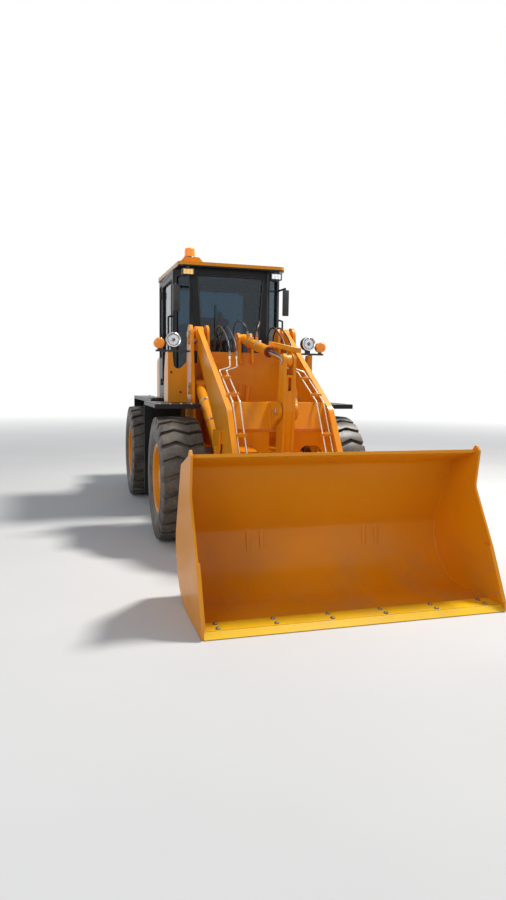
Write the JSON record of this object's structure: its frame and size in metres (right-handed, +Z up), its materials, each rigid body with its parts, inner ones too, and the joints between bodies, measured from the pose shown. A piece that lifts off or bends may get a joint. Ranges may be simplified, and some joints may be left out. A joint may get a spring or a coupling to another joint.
{
  "type": "wheel loader",
  "caption": "Articulated wheel loader with a Z-bar bucket linkage, enclosed cab, rear engine hood and four lugged tyres.",
  "frame": {"origin": "on the ground under the middle of the machine's box, bucket tip to tail", "axes": "+Z up, the machine drives towards -Y, its left side is +X"},
  "size_m": [2.08, 6.495, 2.9696],
  "materials": {
    "orange_paint": "semi-gloss enamel",
    "black_paint": "satin enamel",
    "chrome": "polished",
    "steel": "worn bare steel",
    "tyre": "dusty rubber",
    "glass": "tinted",
    "cast": "painted dark grey",
    "amber": "amber lens",
    "lamp": "clear lens",
    "seat": "black vinyl",
    "red_lens": "red lens",
    "plastic": "moulded"
  },
  "bodies": {
    "rear_frame": {"rear_chassis": "black_paint", "rear_axle": "cast", "engine_and_gearbox": "cast", "counterweight": "black_paint", "hood": "orange_paint", "grille": "black_paint", "cab_deck": "black_paint", "rear_fenders": "black_paint", "tanks_and_steps": "black_paint", "cab_shell": "black_paint", "cab_glass": "glass", "roof": "orange_paint", "roof_lamps": "lamp", "beacon": "amber", "seat": "seat", "console": "plastic", "stack_and_cleaner": "black_paint", "mirrors": "plastic", "tail_lamps": "red_lens"},
    "front_frame": {"front_chassis": "orange_paint", "front_axle": "cast", "front_shaft": "steel", "front_fenders": "black_paint", "lamp_brackets": "orange_paint", "headlamps": "lamp", "arm_hoses": "plastic", "tilt_hoses": "plastic"},
    "boom": {"boom": "orange_paint", "arm_pipes": "steel"},
    "bucket": {"bucket": "orange_paint", "cutting_edge": "steel", "bucket_pins": "steel"},
    "rocker": {"rocker": "orange_paint"},
    "link": {"link": "orange_paint"},
    "lift_barrels": {"lift_barrels": "orange_paint"},
    "lift_rods": {"lift_rods": "chrome"},
    "tilt_barrel": {"tilt_barrel": "orange_paint"},
    "tilt_rod": {"tilt_rod": "chrome", "tilt_guard": "orange_paint"},
    "door_left": {"door_left": "black_paint", "door_glass_left": "glass"},
    "steer_barrel_left": {"steer_barrel_left": "orange_paint"},
    "steer_rod_left": {"steer_rod_left": "chrome"},
    "wheel_front_left": {"tyre_front_left": "tyre", "rim_front_left": "orange_paint"},
    "wheel_rear_left": {"tyre_rear_left": "tyre", "rim_rear_left": "orange_paint"},
    "door_right": {"door_right": "black_paint", "door_glass_right": "glass"},
    "steer_barrel_right": {"steer_barrel_right": "orange_paint"},
    "steer_rod_right": {"steer_rod_right": "chrome"},
    "wheel_front_right": {"tyre_front_right": "tyre", "rim_front_right": "orange_paint"},
    "wheel_rear_right": {"tyre_rear_right": "tyre", "rim_rear_right": "orange_paint"}
  },
  "joints": [
    {"name": "steer", "type": "hinge", "parent": "rear_frame", "child": "front_frame", "pos_m": [0, 0.6175, 0.74], "axis": [0, 0, 1], "range_deg": [-35, 35]},
    {"name": "wheel_front_left_spin", "type": "hinge", "parent": "front_frame", "child": "wheel_front_left", "pos_m": [0.78, -0.6825, 0.59], "axis": [1, 0, 0], "continuous": true},
    {"name": "wheel_front_right_spin", "type": "hinge", "parent": "front_frame", "child": "wheel_front_right", "pos_m": [-0.78, -0.6825, 0.59], "axis": [1, 0, 0], "continuous": true},
    {"name": "wheel_rear_left_spin", "type": "hinge", "parent": "rear_frame", "child": "wheel_rear_left", "pos_m": [0.78, 1.9175, 0.59], "axis": [1, 0, 0], "continuous": true},
    {"name": "wheel_rear_right_spin", "type": "hinge", "parent": "rear_frame", "child": "wheel_rear_right", "pos_m": [-0.78, 1.9175, 0.59], "axis": [1, 0, 0], "continuous": true},
    {"name": "door_left_hinge", "type": "hinge", "parent": "rear_frame", "child": "door_left", "pos_m": [0.632, 1.3095, 2], "axis": [0, 0, 1], "range_deg": [0, 80]},
    {"name": "door_right_hinge", "type": "hinge", "parent": "rear_frame", "child": "door_right", "pos_m": [-0.632, 1.3095, 2], "axis": [0, 0, -1], "range_deg": [0, 80]},
    {"name": "boom_lift", "type": "hinge", "parent": "front_frame", "child": "boom", "pos_m": [0, -0.1825, 1.985], "axis": [-1, 0, 0], "range_deg": [0, 64], "deforming": ["arm_hoses", "tilt_hoses"]},
    {"name": "bucket_tilt", "type": "hinge", "parent": "boom", "child": "bucket", "pos_m": [0, -2.1725, 0.3], "axis": [-1, 0, 0], "range_deg": [-104, 35]},
    {"name": "rocker_turn", "type": "hinge", "parent": "boom", "child": "rocker", "pos_m": [0, -1.6475, 1.27], "axis": [-1, 0, 0], "range_deg": [-9.68, 27.77]},
    {"name": "link_turn", "type": "hinge", "parent": "rocker", "child": "link", "pos_m": [0, -1.5975, 0.56], "axis": [-1, 0, 0], "range_deg": [-57.4, 19.65]},
    {"name": "lift_barrels_swing", "type": "hinge", "parent": "front_frame", "child": "lift_barrels", "pos_m": [0, -0.2325, 1.47], "axis": [-1, 0, 0], "range_deg": [0, 65.77]},
    {"name": "lift_rods_slide", "type": "slide", "parent": "lift_barrels", "child": "lift_rods", "axis": [0, -0.8611, -0.5085], "range_m": [0, 0.54941]},
    {"name": "tilt_barrel_swing", "type": "hinge", "parent": "front_frame", "child": "tilt_barrel", "pos_m": [0, -0.2325, 1.95], "axis": [-1, 0, 0], "range_deg": [0, 64.56]},
    {"name": "tilt_rod_slide", "type": "slide", "parent": "tilt_barrel", "child": "tilt_rod", "axis": [0, -0.9836, -0.1804], "range_m": [-0.18646, 0.06408]},
    {"name": "steer_barrel_left_swing", "type": "hinge", "parent": "rear_frame", "child": "steer_barrel_left", "pos_m": [0.4, 1.4775, 0.7], "axis": [0, 0, 1], "range_deg": [-8.38, 8.38]},
    {"name": "steer_rod_left_slide", "type": "slide", "parent": "steer_barrel_left", "child": "steer_rod_left", "axis": [0.0274, -0.9996, 0], "range_m": [-0.25765, 0.25765]},
    {"name": "steer_barrel_right_swing", "type": "hinge", "parent": "rear_frame", "child": "steer_barrel_right", "pos_m": [-0.4, 1.4775, 0.7], "axis": [0, 0, 1], "range_deg": [-8.38, 8.38]},
    {"name": "steer_rod_right_slide", "type": "slide", "parent": "steer_barrel_right", "child": "steer_rod_right", "axis": [-0.0274, -0.9996, 0], "range_m": [-0.25765, 0.25765]}
  ],
  "couplings": [
    {"joint": "rocker_turn", "follows": "bucket_tilt", "ratio": -0.2622},
    {"joint": "link_turn", "follows": "bucket_tilt", "ratio": 0.54706},
    {"joint": "lift_barrels_swing", "follows": "boom_lift", "ratio": 1.0199},
    {"joint": "lift_rods_slide", "follows": "boom_lift", "m_per_rad": 0.49007},
    {"joint": "tilt_barrel_swing", "follows": "boom_lift", "ratio": 1.001},
    {"joint": "tilt_rod_slide", "follows": "bucket_tilt", "m_per_rad": 0.10162},
    {"joint": "steer_barrel_left_swing", "follows": "steer", "ratio": 0.22527},
    {"joint": "steer_rod_left_slide", "follows": "steer", "m_per_rad": -0.41851},
    {"joint": "steer_barrel_right_swing", "follows": "steer", "ratio": 0.22527},
    {"joint": "steer_rod_right_slide", "follows": "steer", "m_per_rad": 0.41851}
  ]
}
